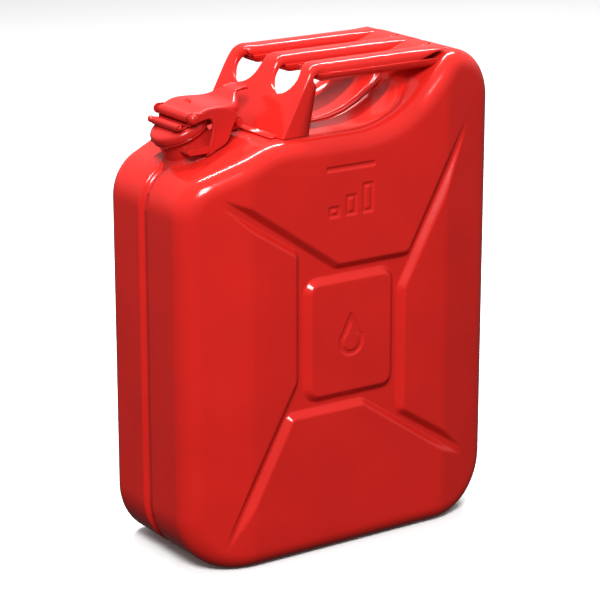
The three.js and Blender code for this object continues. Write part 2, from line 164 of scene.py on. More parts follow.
def finish(obj, width=0.35, segments=3, angle=32):
    """Soft painted edges on a hard-edged piece."""
    modifier(obj, "BEVEL", width=width * MM, segments=segments, limit_method="ANGLE",
             angle_limit=math.radians(angle), harden_normals=True)
    modifier(obj, "WEIGHTED_NORMAL", keep_sharp=True)


# ------------------------------------------------------------------ materials
def node_material(name):
    """A new material, with its nodes, its links and its shader."""
    m = bpy.data.materials.new(name)
    m.use_nodes = True
    nodes, links = m.node_tree.nodes, m.node_tree.links
    return m, nodes, links, nodes["Principled BSDF"]


def paint(name, colour, rough=0.15, bump=0.04, scale=420.0):
    """Gloss enamel with a slightly uneven tone and gloss, and an orange peel of the given bump."""
    m, nodes, links, shader = node_material(name)
    shader.inputs["Roughness"].default_value = rough
    shader.inputs["Specular IOR Level"].default_value = 0.3
    place = nodes.new("ShaderNodeTexCoord")

    cloud = nodes.new("ShaderNodeTexNoise")
    cloud.inputs["Scale"].default_value = 14
    cloud.inputs["Detail"].default_value = 5
    links.new(place.outputs["Object"], cloud.inputs["Vector"])
    tone = nodes.new("ShaderNodeValToRGB")
    tone.color_ramp.elements[0].position = 0.3
    tone.color_ramp.elements[1].position = 0.75
    tone.color_ramp.elements[0].color = [c * 0.93 for c in colour] + [1]
    tone.color_ramp.elements[1].color = [min(1, c * 1.05) for c in colour] + [1]
    links.new(cloud.outputs["Fac"], tone.inputs["Fac"])
    links.new(tone.outputs["Color"], shader.inputs["Base Color"])

    gloss = nodes.new("ShaderNodeTexNoise")
    gloss.inputs["Scale"].default_value = 55
    gloss.inputs["Detail"].default_value = 6
    links.new(place.outputs["Object"], gloss.inputs["Vector"])
    spread = nodes.new("ShaderNodeMapRange")
    spread.inputs["To Min"].default_value = rough * 0.8
    spread.inputs["To Max"].default_value = rough * 1.3
    links.new(gloss.outputs["Fac"], spread.inputs["Value"])
    links.new(spread.outputs["Result"], shader.inputs["Roughness"])

    peel = nodes.new("ShaderNodeTexNoise")
    peel.inputs["Scale"].default_value = scale
    peel.inputs["Detail"].default_value = 2
    links.new(place.outputs["Object"], peel.inputs["Vector"])
    ripple = nodes.new("ShaderNodeBump")
    ripple.inputs["Strength"].default_value = bump
    ripple.inputs["Distance"].default_value = 0.0004
    links.new(peel.outputs["Fac"], ripple.inputs["Height"])
    links.new(ripple.outputs["Normal"], shader.inputs["Normal"])
    return m


RED = (0.560, 0.0150, 0.0110)
# the body's red made darker, used for the closure's fittings and for the welds
DARKENED_RED = (0.440, 0.0130, 0.0105)
BODY = paint("red_enamel", RED)
# painted shade: the closure's fittings get the darkened copy of the body's red, standing in for the shade in
# the crevices among them
SHADED_FITTING = paint("red_enamel_fittings_painted_shade", DARKENED_RED, rough=0.2, bump=0.1, scale=300)
WELD = paint("red_enamel_weld", DARKENED_RED, rough=0.38, bump=1.0, scale=240)


def rubber_material():
    """Black rubber with a fine grain."""
    m, nodes, links, shader = node_material("gasket_rubber")
    shader.inputs["Base Color"].default_value = (0.016, 0.016, 0.017, 1)
    shader.inputs["Roughness"].default_value = 0.65
    grain = nodes.new("ShaderNodeTexNoise")
    grain.inputs["Scale"].default_value = 600
    ripple = nodes.new("ShaderNodeBump")
    ripple.inputs["Strength"].default_value = 0.25
    ripple.inputs["Distance"].default_value = 0.0003
    links.new(grain.outputs["Fac"], ripple.inputs["Height"])
    links.new(ripple.outputs["Normal"], shader.inputs["Normal"])
    return m


def steel_material():
    """Bare steel, shinier in some places than in others."""
    m, nodes, links, shader = node_material("bare_steel")
    shader.inputs["Base Color"].default_value = (0.5, 0.5, 0.52, 1)
    shader.inputs["Metallic"].default_value = 1
    place = nodes.new("ShaderNodeTexCoord")
    scratch = nodes.new("ShaderNodeTexNoise")
    scratch.inputs["Scale"].default_value = 90
    scratch.inputs["Detail"].default_value = 8
    links.new(place.outputs["Object"], scratch.inputs["Vector"])
    spread = nodes.new("ShaderNodeMapRange")
    spread.inputs["To Min"].default_value = 0.28
    spread.inputs["To Max"].default_value = 0.5
    links.new(scratch.outputs["Fac"], spread.inputs["Value"])
    links.new(spread.outputs["Result"], shader.inputs["Roughness"])
    return m


RUBBER = rubber_material()
STEEL = steel_material()


# ------------------------------------------------------------------ pressed half shells
def face_y(x):
    """Half thickness of the can across its width, with a soft bend where the flat ends."""
    past = np.abs(x) - FACE_FLAT_X
    soft = 1.5
    straight = 20
    bend = soft * np.log1p(np.exp(np.clip(past, -40, straight) / soft))
    return HALF_T - FACE_SLOPE * np.where(past > straight, past, bend)


def channel_outline():
    """Edge of the channel's floor, two halves that are a half turn apart."""
    turned = [(-x, -z, r) for x, z, r in CHANNEL_FLOOR_HALF]
    corners = [(x, z + CHANNEL_Z, r) for x, z, r in (CHANNEL_FLOOR_HALF + turned)[::-1]]
    return rounded(corners, 2)


CHANNEL_FLOOR = channel_outline()


def box_distance(p, cx, cz, hx, hz, r):
    """Signed distance to a rounded rectangle, positive inside."""
    q = np.abs(p - [cx, cz]) - [hx - r, hz - r]
    return r - np.linalg.norm(np.maximum(q, 0), axis=1) - np.minimum(q.max(1), 0)


def drop_distance(p, cx, cz, r):
    """Signed distance to a fuel drop with its point up, positive inside."""
    tip = 2.1
    shoulder = 0.45
    q = (p - [cx, cz]) / r
    round_part = 1 - np.linalg.norm(q, axis=1)
    height = np.clip(q[:, 1], -1, tip)
    half = np.where(height < shoulder, 1, np.clip((tip - height) / 1.65, 0, 1) ** 0.9 * 0.89)
    cone = np.where((q[:, 1] > 0.0) & (q[:, 1] < tip), half - np.abs(q[:, 0]), -1)
    return np.maximum(round_part, cone * 0.75) * r


def stamped(distance, depth, wall):
    """How deep a stamped mark is at a signed distance from its edge."""
    t = np.clip(distance / wall + 0.5, 0, 1)
    return depth * t * t * (3 - 2 * t)


def face_height(p):
    """Half thickness at points (x, z) of the big face, with everything pressed into it."""
    skin = face_y(p[:, 0])
    floor = HALF_T - CHANNEL_DEPTH
    outside = -inside_distance(p, CHANNEL_FLOOR)
    channel = smooth_max(floor + outside, np.full(len(p), floor), 0.8)
    panel = floor + box_distance(p, *PANEL)
    y = smooth_min(smooth_max(channel, panel, 0.8), skin, 1.3)
    # measuring line and level gauge near the top, drop on the centre panel
    y = y - stamped(box_distance(p, *LEVEL_LINE), depth=1.3, wall=2.2)
    for k, tall in enumerate(GAUGE_HEIGHTS):
        x = GAUGE_X + GAUGE_PITCH * k
        z = GAUGE_FOOT_Z + tall / 2
        y = y - stamped(box_distance(p, x, z, 6.0, tall / 2, 1.5), depth=1.1, wall=2.4)
        y = y + stamped(box_distance(p, x, z, 2.6, tall / 2 - 3.4, 0.8), depth=1.1, wall=2.4)
    drop = drop_distance(p, 0, DROP_Z, DROP_R)
    return y - stamped(drop, depth=1.2, wall=2.6) + stamped(drop - DROP_RIM, depth=1.2, wall=2.6)


def near_detail(p):
    """True where the face has a wall or a stamped mark and needs its points close together."""
    channel_wall = np.abs(inside_distance(p, CHANNEL_FLOOR) + 2.5) < 5.5
    panel_wall = np.abs(box_distance(p, *PANEL) - 3) < 5
    drop = (np.abs(p[:, 0]) < 16) & (np.abs(p[:, 1] - CHANNEL_Z) < 28)
    line_and_gauge = (np.abs(p[:, 0] + 1) < 30) & (np.abs(p[:, 1] - 352) < 28)
    return channel_wall | panel_wall | drop | line_and_gauge


def well_depth(p, y):
    """Finger clearance pressed into the deck and the front of the hump, below the bars."""
    q = np.stack([p[:, 0], y], 1)
    well = (14, 0, 74, 62, 34)
    deepest = 3.6
    d = box_distance(q, *well)
    return deepest * (1 - np.exp(-np.maximum(d, 0) / 5.0)) * np.clip(d / 1.5, 0, 1)


def groove_depth(y):
    """Depth of the seam groove at a distance y from the middle plane."""
    t = np.clip((y - 3.6) / 4.4, 0, 1)
    return GROOVE * (1 - t * t * (3 - 2 * t))


def lattice(step):
    """Staggered points over the big face, step apart."""
    grid = np.stack(np.meshgrid(np.arange(-HALF_W, HALF_W, step), np.arange(0, 470, step * 0.87)), -1)
    grid[1::2, :, 0] += step / 2
    return grid.reshape(-1, 2)


def shell(name, side, node):
    """One pressed half of the can, from the seam groove to the big face; side is the sign of y."""
    outline = rounded(CAN_CORNERS, 3.0)
    normal = outward(outline)
    count = len(outline)
    loops = []
    levels = [0.15, 1.8, 3.2, 4.0, 4.8, 5.6, 6.4, 7.2, 8.2, 9.5]
    levels += list(np.arange(12, 47, 2.5))
    for y in levels:
        loops.append((outline - normal * groove_depth(y), np.full(count, y)))
    # the last stretch of the side wall spreads to the foot of the edge rounding
    wall_end = 46
    foot = face_y(outline[:, 0]) - EDGE_R
    for f in np.linspace(0.15, 1, 8):
        loops.append((outline, wall_end + (foot - wall_end) * f))
    edge_steps = 12
    for s in range(1, edge_steps + 1):
        phi = math.pi / 2 * s / edge_steps
        points = outline - normal * (EDGE_R * (1 - math.cos(phi)))
        loops.append((points, face_y(points[:, 0]) - EDGE_R * (1 - math.sin(phi))))

    verts, faces = [], []
    on_deck = (normal[:, 1] > 0.3) & (outline[:, 0] > -62) & (outline[:, 0] < 100)
    for points, y in loops:
        sunk = well_depth(points, y) * on_deck
        points = points - normal * sunk[:, None]
        verts.append(np.stack([points[:, 0], y, points[:, 1]], 1))
    for k in range(len(loops) - 1):
        for i in range(count):
            j = (i + 1) % count
            faces.append((k * count + i, (k + 1) * count + i, (k + 1) * count + j, k * count + j))
    base = (len(loops) - 1) * count

    rim = loops[-1][0]
    fine = 0.95
    coarse = lattice(4 * fine)
    close = lattice(fine)
    keep_close = near_detail(close) & (inside_distance(close, rim) > fine * 0.6)
    keep_coarse = ~near_detail(coarse) & (inside_distance(coarse, rim) > 2.2)
    every = np.concatenate([rim, close[keep_close], coarse[keep_coarse]])
    # triangles between all the points, inside the rim and with its edges kept
    cdt = delaunay_2d_cdt([Vector(p) for p in every], [], [list(range(count))], 1, 1e-5)
    flat = np.array([tuple(v) for v in cdt[0]])
    order = [o[0] if o else -1 for o in cdt[3]]
    heights = face_height(flat)
    index, extra = {}, []
    for i, o in enumerate(order):
        if 0 <= o < count:
            index[i] = base + o
        else:
            index[i] = len(loops) * count + len(extra)
            extra.append((flat[i][0], heights[i], flat[i][1]))
    verts = np.concatenate(verts + [np.array(extra)])
    faces += [tuple(index[i] for i in reversed(f)) for f in cdt[2]]

    # the hole under the neck
    axis = np.array([-math.sin(NECK_TILT), 0, math.cos(NECK_TILT)])
    rel = verts - [NECK_X, 0, NECK_Z]
    along = rel @ axis
    radial = np.linalg.norm(rel - along[:, None] * axis, axis=1)
    hole = (radial < NECK_R + 0.5) & (np.abs(along) < 25)
    faces = [f for f in faces if not all(hole[i] for i in f)]
    if side < 0:
        verts[:, 1] *= -1
        faces = [f[::-1] for f in faces]
    obj = make(name, verts, faces, BODY, "can")
    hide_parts(node)


shell("right_shell_skin", -1, "right_shell")
shell("left_shell_skin", 1, "left_shell")


# ------------------------------------------------------------------ carrying handle
def rows_mesh(rows, closed=False, flip=False):
    """Vertices and quads of a strip of rows, all with the same number of points."""
    width = len(rows[0])
    faces = []
    for k in range(len(rows) - 1):
        for i in range(width if closed else width - 1):
            j = (i + 1) % width
            quad = (k * width + i, k * width + j, (k + 1) * width + j, (k + 1) * width + i)
            faces.append(quad[::-1] if flip else quad)
    return np.concatenate([np.asarray(r, float) for r in rows]), faces


def merge(parts):
    """Several (vertices, faces) as one."""
    verts, faces, start = [], [], 0
    for v, f in parts:
        verts.append(v)
        faces += [tuple(i + start for i in face) for face in f]
        start += len(v)
    return np.concatenate(verts), faces


BAR_Y = 53.0
WINDOW_Y = 26.5
HANDLE_Y = 65.0
# 0.4 mm under the top of the CAD box, so that the thickened sheet stays inside it
TOP_Z = 469.3
REAR_X = 120.0
HANDLE_SHEET = 1.4


def open_path(corners, step):
    """Points and left-hand normals along an open path of corners (x, z, radius)."""
    points = [np.array(corners[0][:2], float)]
    for i in range(1, len(corners) - 1):
        here = np.array(corners[i][:2], float)
        a = np.array(corners[i - 1][:2], float) - here
        b = np.array(corners[i + 1][:2], float) - here
        a /= np.linalg.norm(a)
        b /= np.linalg.norm(b)
        half = math.acos(a @ b) / 2
        r = corners[i][2]
        centre = here + (a + b) / np.linalg.norm(a + b) * r / math.sin(half)
        p, q = here + a * r / math.tan(half) - centre, here + b * r / math.tan(half) - centre
        sweep = math.atan2(p[0] * q[1] - p[1] * q[0], p @ q)
        steps = max(2, round(abs(sweep) * r / step))
        for s in range(steps + 1):
            c, k = math.cos(sweep * s / steps), math.sin(sweep * s / steps)
            points.append(centre + [c * p[0] - k * p[1], k * p[0] + c * p[1]])
    points.append(np.array(corners[-1][:2], float))
    dense = [points[0]]
    for p in points[1:]:
        gap = np.linalg.norm(p - dense[-1])
        pieces = max(1, round(gap / step))
        start = dense[-1]
        dense += [start + (p - start) * k / pieces for k in range(1, pieces + 1)]
    dense = np.array(dense)
    d = np.gradient(dense, axis=0)
    d /= np.linalg.norm(d, axis=1)[:, None]
    return dense, np.stack([-d[:, 1], d[:, 0]], 1)


def strap_profile(y0, y1, r0, r1, drop0, drop1):
    """Cross-section (y, height) of a strap with its two edges rolled down."""
    out = [(y0, -drop0 + (drop0 - r0) * t) for t in (0, 0.5)]
    quarter = np.linspace(0, math.pi / 2, 8)
    out += [(y0 + r0 - r0 * math.cos(a), -r0 + r0 * math.sin(a)) for a in quarter]
    inner0, inner1 = y0 + r0, y1 - r1
    out += [(inner0 + (inner1 - inner0) * t, 0) for t in (0.25, 0.5, 0.75)]
    out += [(y1 - r1 + r1 * math.cos(a), -r1 + r1 * math.sin(a)) for a in quarter[::-1]]
    out += [(y1, -r1 - (drop1 - r1) * t) for t in (0.5, 1)]
    return out


def slab(outline, y0, y1):
    """A plate with its outline drawn in X-Z."""
    n = len(outline)
    verts = [(x, y0, z) for x, z in outline] + [(x, y1, z) for x, z in outline]
    faces = [tuple(range(n)), tuple(range(2 * n - 1, n - 1, -1))]
    faces += [(i, n + i, n + (i + 1) % n, (i + 1) % n) for i in range(n)]
    return np.array(verts, float), faces


def run_out(x):
    """Share of their height that the bars' edges still have where they sink into the rear plate."""
    return np.interp(x, [84, 92, 108, REAR_X], [1, 0.82, 0.3, 0.1])


def handle():
    """Front plate, three bars and rear plate as one sheet laid along a path with one bend."""
    path, normal = open_path([(-68, 404.8), (-33.7, TOP_Z, 14), (REAR_X, TOP_Z)], 1.5)
    s = np.concatenate([[0], np.cumsum(np.linalg.norm(np.diff(path, axis=0), axis=1))])
    # a rolled edge points straight back on the plate and turns square to the path round the bend
    turn = np.interp(s, [44, 66], [0, 1])[:, None]
    down = -normal * turn + np.array([1.0, 0.0]) * (1 - turn)
    down /= np.linalg.norm(down, axis=1)[:, None]
    # edges of the sheet at a distance s along the path: the windows open at low, the bars begin at 60
    low = 39.0
    inner_edge = np.interp(s, [low, 40.2, 42, 46, 51.5, 56, 61, 200],
                           [33, 28, 24.2, 19, 15, 13.4, 12.2, 12])
    outer_edge = np.interp(s, [low, 40.2, 42, 46, 51.5, 56, 61, 66, 74, 84, 200],
                           [33, 38, 41.5, 46, 49.6, 51, 50.8, 49, 45, 41.6, 41])
    side_edge = np.interp(s, [60, 84], [68, HANDLE_Y])
    merge_in = run_out(path[:, 0])
    inner_r = np.interp(s, [low, low + 4, 58, 74, 90], [0.01, 2.2, 3.4, 6.5, 8])
    inner_drop = np.interp(s, [low, low + 4, 58, 74, 90], [0.02, 3.0, 5, 9, 10.5])
    outer_r = np.interp(s, [0, 50, 60, 74, 90], [3, 3, 4, 6.5, 8])
    outer_drop = np.interp(s, [0, 50, 54, 57, 60, 64, 70, 78, 90],
                           [29, 14, 12.5, 9.5, 6.5, 6.2, 8.6, 9.4, 10.5])
    parts = []

    def lay(k, profile, scale=1.0):
        """A cross-section (y, height) stood across the path at its point k."""
        (px, pz), (dx, dz) = path[k], down[k]
        return [(px - dx * h * scale, y, pz - dz * h * scale) for y, h in profile]

    for side in (1, -1):
        rows = []
        for k in range(len(path)):
            profile = strap_profile(outer_edge[k], side_edge[k], inner_r[k], outer_r[k],
                                    inner_drop[k], outer_drop[k])
            rows.append(lay(k, [(side * y, h) for y, h in profile], merge_in[k]))
        parts.append(rows_mesh(rows, flip=side > 0))
    rows = []
    for k in range(len(path)):
        edge, r, drop = inner_edge[k], inner_r[k], inner_drop[k]
        rows.append(lay(k, strap_profile(-edge, edge, r, r, drop, drop), merge_in[k]))
    parts.append(rows_mesh(rows, flip=True))

    # closed undersides of the three bars, from just behind the bend
    half, rim, corner_r = 12, -9, 6
    under = [(half, rim)]
    for a in np.linspace(0, math.pi / 2, 6):
        under.append((half - corner_r + corner_r * math.cos(a), rim - 1 - corner_r * math.sin(a)))
    under += [(-y, h) for y, h in reversed(under)]
    begin = 70
    depth = np.interp(s, [begin, begin + 16], [0.05, 1])
    span = [k for k in range(len(path)) if s[k] > begin and path[k][0] < 112]

    def underside(centre, k):
        """Cross-section of one bar's underside at point k of the path."""
        return [(centre + y, rim + (h - rim) * depth[k]) for y, h in under]

    for centre in (-BAR_Y, 0, BAR_Y):
        parts.append(rows_mesh([lay(k, underside(centre, k)) for k in span]))
        start = underside(centre, span[0]) + [(centre - 11, -1.2), (centre + 11, -1.2)]
        lid = np.array(lay(span[0], start))
        parts.append((lid, [tuple(range(len(lid)))]))

    # foot flange ahead of the plate, on the deck
    foot = [(-74.4, 404.9), (-66, 404.9), (-66, 407.6), (-67.6, 406.9), (-70, 406.6), (-73.6, 406.5),
            (-74.4, 405.8)]
    foot_y = 58
    parts.append(slab(foot, -foot_y, foot_y))

    # valleys between the bars where they run out on the rear plate
    valley_x, valley_bow, valley_half, valley_depth = 76, 9.5, 14.5, 10.5
    for side in (1, -1):
        rows = []
        for t in np.linspace(0, 1, 14):
            row = []
            for u in np.linspace(-1, 1, 15):
                x0 = valley_x + valley_bow * math.sqrt(1 - u * u)
                x = x0 + (REAR_X - x0) * t
                row.append((x, side * (WINDOW_Y + u * valley_half), TOP_Z - valley_depth * run_out(x)))
            rows.append(row)
        parts.append(rows_mesh(rows, flip=side < 0))
    verts, faces = merge(parts)
    obj = make("handle_skin", verts, faces, BODY, "can")
    modifier(obj, "WELD", merge_threshold=0.03 * MM)
    modifier(obj, "SOLIDIFY", thickness=HANDLE_SHEET * MM, offset=-1)
    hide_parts("handle_front_bracket", "handle_bar_left", "handle_bar_middle", "handle_bar_right",
                "handle_rear_plate")


handle()


# ------------------------------------------------------------------ closure
NECK_UP = np.array([-math.sin(NECK_TILT), 0, math.cos(NECK_TILT)])
NECK_SIDE = np.array([math.cos(NECK_TILT), 0, math.sin(NECK_TILT)])
NECK_BASE = np.array([NECK_X, 0, NECK_Z])
PIN = NECK_BASE + NECK_SIDE * 2.8 + NECK_UP * 39.4
LOCK = NECK_BASE + NECK_SIDE * -10 + NECK_UP * 36.3
CHEEK_Y, CHEEK_IN = 31.1, 29.6
LUG_X, LUG_Z = -127.0, 397.0
CLOSURE_SHEET = 0.9


def in_neck(points):
    """World points from (a, y, b) in the frame of the neck."""
    return [NECK_BASE + NECK_SIDE * a + [0, y, 0] + NECK_UP * b for a, y, b in points]


def lathe(profile, sides=96):
    """Vertices and faces of a profile (radius, height) turned about the neck's axis."""
    rows = []
    for k in range(sides):
        t = 2 * math.pi * k / sides
        rows.append(in_neck([(r * math.cos(t), r * math.sin(t), h) for r, h in profile]))
    rows.append(rows[0])
    return rows_mesh(rows)


def arc(x, z, r, start, end, steps):
    """Points of an arc in X-Z from start to end, in degrees."""
    angles = [math.radians(start + (end - start) * i / steps) for i in range(steps + 1)]
    return [(x + r * math.cos(a), z + r * math.sin(a)) for a in angles]


def around(sides):
    """Angles of one turn, without the last, which would repeat the first."""
    return np.linspace(0, 2 * math.pi, sides, endpoint=False)


def rod(centre, r, y0, y1, sides=32, dome=0.0):
    """A round bar along Y whose ends can be domed."""
    rings = []
    if dome:
        rings += [(y0 - dome * math.sin(a), r * math.cos(a)) for a in np.linspace(1.5, 0.1, 6)]
    rings += [(y0, r), (y1, r)]
    if dome:
        rings += [(y1 + dome * math.sin(a), r * math.cos(a)) for a in np.linspace(0.1, 1.5, 6)]
    rows = []
    for y, q in rings:
        rows.append([(centre[0] + q * math.cos(t), y, centre[2] + q * math.sin(t)) for t in around(sides)])
    verts, faces = rows_mesh(rows, closed=True)
    faces.append(tuple(range(sides)))
    faces.append(tuple(range(len(verts) - 1, len(verts) - sides - 1, -1)))
    return verts, faces


def ball(centre, r, steps=24):
    """A ball with a tiny opening at each pole."""
    rows = []
    for a in np.linspace(-math.pi / 2 + 0.02, math.pi / 2 - 0.02, steps // 2):
        flat, rise = math.cos(a), math.sin(a)
        rows.append([centre + r * np.array([flat * math.cos(t), flat * math.sin(t), rise])
                     for t in around(steps)])
    return rows_mesh(rows, closed=True)


def outward_faces(obj):
    """Join points in the same place and turn every face outwards."""
    bm = bmesh.new()
    bm.from_mesh(obj.data)
    bmesh.ops.remove_doubles(bm, verts=bm.verts, dist=0.00001)
    bmesh.ops.recalc_face_normals(bm, faces=bm.faces)
    bm.to_mesh(obj.data)
    bm.free()
    return obj


def cut_away(obj, verts, faces):
    """Cut a closed body out of a piece, and keep the result as its mesh."""
    mesh = bpy.data.meshes.new("cutter")
    mesh.from_pydata([tuple(v) for v in np.array(verts) * MM], [], faces)
    cutter = bpy.data.objects.new("cutter", mesh)
    bpy.context.scene.collection.objects.link(cutter)
    outward_faces(cutter)
    trim = modifier(obj, "BOOLEAN", operation="DIFFERENCE", solver="EXACT", object=cutter)
    ready = obj.evaluated_get(bpy.context.evaluated_depsgraph_get())
    result = bpy.data.meshes.new_from_object(ready)
    obj.modifiers.remove(trim)
    obj.data = result
    bpy.data.objects.remove(cutter)


def neck():
    """The tube with its lip, and the weld round its foot."""
    profile = [(22.4, 28.6), (22.0, 27.6), (21.9, -8), (24.2, -8), (23.9, 12), (23.5, 17.5), (23.9, 19.2),
               (25.2, 20.6), (26.6, 22.0), (27.0, 23.0), (26.4, 23.6), (24.0, 23.7), (23.6, 24.3),
               (23.6, 26.4), (25.0, 27.4), (25.3, 28.1), (25.0, 28.6), (22.4, 28.6)]
    verts, faces = lathe(profile)
    obj = outward_faces(make("neck_tube", verts, faces, SHADED_FITTING, "can"))
    modifier(obj, "WEIGHTED_NORMAL")
    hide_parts("filler_neck")
    # weld fillet, wavy where the bead was laid
    rows = []
    rng = random.Random(7)
    sides = 140
    unevenness = 0.25
    wave = [rng.uniform(-unevenness, unevenness) for _ in range(sides)]
    for k in range(sides + 1):
        t = 2 * math.pi * k / sides
        w = wave[k % sides]
        section = [(23.8, 6.2 + w), (24.6, 4.4 + w), (26.0, 2.3 + w), (28.2 + w, 0.3), (30.4 + w, -1.6),
                   (33, -4.6)]
        rows.append(in_neck([(r * math.cos(t), r * math.sin(t), h) for r, h in section]))
    verts, faces = rows_mesh(rows)
    bead = outward_faces(make("neck_weld_bead", verts, faces, WELD, "can"))
    modifier(bead, "SUBSURF", levels=1, render_levels=1)
    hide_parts("neck_weld")


def bracket_round_neck():
    """Hinge ears behind the neck and lugs at its sides, both cut back to the neck's wall."""
    ear = [(-117, 409), (-114, 402.5), (-82, 408.4), (-78.6, 410.4), (-77.4, 414), (-78.6, 417.6),
           (-81.5, 419), (-87, 419)]
    lug = arc(LUG_X, LUG_Z, 3.5, -95, 85, 10) + arc(-143.4, 395.6, 2.2, 90, 265, 8)
    parts = []
    for outline, near, far in ((ear, 16.0, 17.6), (lug, 19, 33.2)):
        parts += [slab(outline, -far, -near), slab(outline, near, far)]
    verts, faces = merge(parts)
    obj = outward_faces(make("neck_lugs", verts, faces, SHADED_FITTING, "can", smooth=False))
    core = 22.8
    cut_away(obj, *lathe([(0, -30), (core, -30), (core, 30), (0, 30)]))
    finish(obj, 0.7, 4)
    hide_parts("neck_bracket")


def cap():
    """The dished cap with its rolled skirt."""
    profile = [(0, 33.0), (17.5, 33.0), (19.5, 32.4), (21.5, 32.1), (24.2, 32.0), (26.0, 31.2), (27.2, 29.6),
               (27.5, 27.6), (27.4, 24.6), (27.0, 24.2), (26.4, 24.6), (26.4, 27.4), (25.9, 29.2), (24, 31.0),
               (0, 31.8)]
    verts, faces = lathe(profile)
    obj = outward_faces(make("cap_dish", verts, faces, SHADED_FITTING, "cap"))
    modifier(obj, "WEIGHTED_NORMAL")
    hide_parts("cap_shell")


def lever_top():
    """The lever's sheet: rolled round the pin, flat over the cap, then a narrow raised thumb tab."""
    roll = arc(PIN[0], PIN[2], 4.75, 232, 78, 22)
    path = roll + [(-130, 431.6), (-125, 433.3), (-120, 434.1), (-114, 434.2), (-108, 434.0), (-102, 433.8),
                   (-97, 434.0), (-93, 434.8), (-89.5, 436.4), (-86.5, 438.6), (-83.5, 441.0),
                   (-80.5, 442.8), (-77, 443.9), (-73, 444.3), (-69, 444.2), (-66, 443.8)]
    path = np.array(path)
    d = np.gradient(path, axis=0)
    d /= np.linalg.norm(d, axis=1)[:, None]
    normal = np.stack([-d[:, 1], d[:, 0]], 1)
    x = path[:, 0]
    # half width of the flat part, of the whole sheet, and how far its edge is turned down
    half = np.interp(x, [-140, -108, -101, -95, -90, -86, -82, -75, -69, -66],
                     [28.8, 28.8, 27.4, 23.2, 18.2, 14.0, 11, 10.6, 11, 9.0])
    out = np.interp(x, [-140, -100, -94, -89, -85, -82], [CHEEK_Y, CHEEK_Y, 29.0, 23.5, 16.5, 12.2])
    out = np.where(x > -82, half + 1.2, out)
    drop = np.interp(x, [-140, -131, -126, -98, -93, -89, -85, -82, -66],
                     [3.0, 4.5, 7, 8, 10, 9, 5, 1.6, 1.4])
    front = np.arange(len(path)) < len(roll)
    # the roll stays between the ears of the yoke, so that it clears them as it turns
    half = np.where(front, 23.6, half)
    out = np.where(front, 24.3, out)
    drop = np.where(front, 0.6, drop)
    rows = []
    for k in range(len(path)):
        r_y = out[k] - half[k]
        r_h = min(drop[k], max(2.6, r_y))
        edge = [(half[k] + r_y * math.sin(t), -r_h * (1 - math.cos(t)))
                for t in np.linspace(0, math.pi / 2, 9)]
        edge.append((out[k], -max(drop[k], r_h)))
        section = [(-y, h) for y, h in reversed(edge)]
        section += [(half[k] * u, 0) for u in np.linspace(-0.8, 0.8, 9)]
        section += edge
        rows.append([(path[k][0] + normal[k][0] * h, y, path[k][1] + normal[k][1] * h) for y, h in section])
    verts, faces = rows_mesh(rows, flip=True)
    obj = make("lever_top", verts, faces, SHADED_FITTING, "lever")
    modifier(obj, "SOLIDIFY", thickness=CLOSURE_SHEET * MM, offset=-1)
    modifier(obj, "SUBSURF", levels=1, render_levels=1)
    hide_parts("cam_lever")


def lever_cheeks():
    """The lever's two side plates, which hook under the lugs."""
    cheek = arc(PIN[0], PIN[2], 4.9, 250, 95, 12)
    cheek += [(-131, 430.0), (-125, 430.6), (-98, 429.5), (-93.5, 426.5), (-91.5, 423), (-94.5, 418),
              (-97.6, 413), (-99.6, 408), (-101.2, 403), (-104, 399.6), (-109, 396.8), (-114, 395),
              (-120, 391.8), (LUG_X + 1.6, LUG_Z - 7.1)]
    cheek += arc(LUG_X, LUG_Z, 4.7, -70, 10, 6)
    cheek += [(-120.6, 402), (-118.6, 408), (-117.2, 414), (-117.0, 419), (-118.4, 422.6), (-122, 424.4),
              (-128, 424.0), (-132.6, 422.4)]
    parts = [slab(cheek, -CHEEK_Y, -CHEEK_IN), slab(cheek, CHEEK_IN, CHEEK_Y)]
    # front edges of the cheeks, thickened along this line as if folded inwards
    fold = [(-124.5, 426.2), (-121, 426.4), (-118, 425.0), (-116.2, 421.6), (-116, 417), (-116.8, 411),
            (-118.4, 404.6), (-120.2, 399.4)]
    fold_y, sides = CHEEK_Y - 1.6, 16
    for side in (-1, 1):
        rows = []
        for fx, fz in fold:
            rows.append([(fx + 2.1 * math.cos(t), side * fold_y + 2.3 * math.sin(t) * side,
                          fz + 1.2 * math.cos(t)) for t in around(sides)])
        v, f = rows_mesh(rows, closed=True)
        f.append(tuple(range(sides)))
        f.append(tuple(range(len(v) - 1, len(v) - sides - 1, -1)))
        parts.append((v, f))
    verts, faces = merge(parts)
    cheeks = outward_faces(make("lever_cheeks", verts, faces, SHADED_FITTING, "lever"))
    finish(cheeks, 0.5, 4)


def lever_trim():
    """Rolled rim round the end of the thumb tab, and a small bent stop on the top plate."""
    rim = [(-82, -11.2)]
    for t in np.linspace(-0.55 * math.pi, 0.55 * math.pi, 25):
        rim.append((-72.5 + 7.0 * math.cos(t), 11.6 * math.sin(t)))
    rim.append((-82, 11.2))
    rim = np.array(rim)
    roll_r = 1.25
    tangent = np.gradient(rim, axis=0)
    tangent /= np.linalg.norm(tangent, axis=1)[:, None]
    rows = []
    for (rx, ry), (tx, ty) in zip(rim, tangent):
        z = np.interp(rx, [-83.5, -80.5, -77, -73, -66], [440.6, 442.4, 443.4, 443.7, 443.2])
        rows.append([(rx + roll_r * math.cos(q) * ty, ry - roll_r * math.cos(q) * tx,
                      z + roll_r * math.sin(q)) for q in around(12)])
    v, f = rows_mesh(rows, closed=True)
    stop_plate = slab([(-123.5, 433.2), (-119.5, 433.6), (-119.6, 436.2), (-120.6, 436.4)], 4, 11)
    verts, faces = merge([(v, f), stop_plate])
    trim = outward_faces(make("lever_trim", verts, faces, SHADED_FITTING, "lever"))
    finish(trim, 0.3, 2)


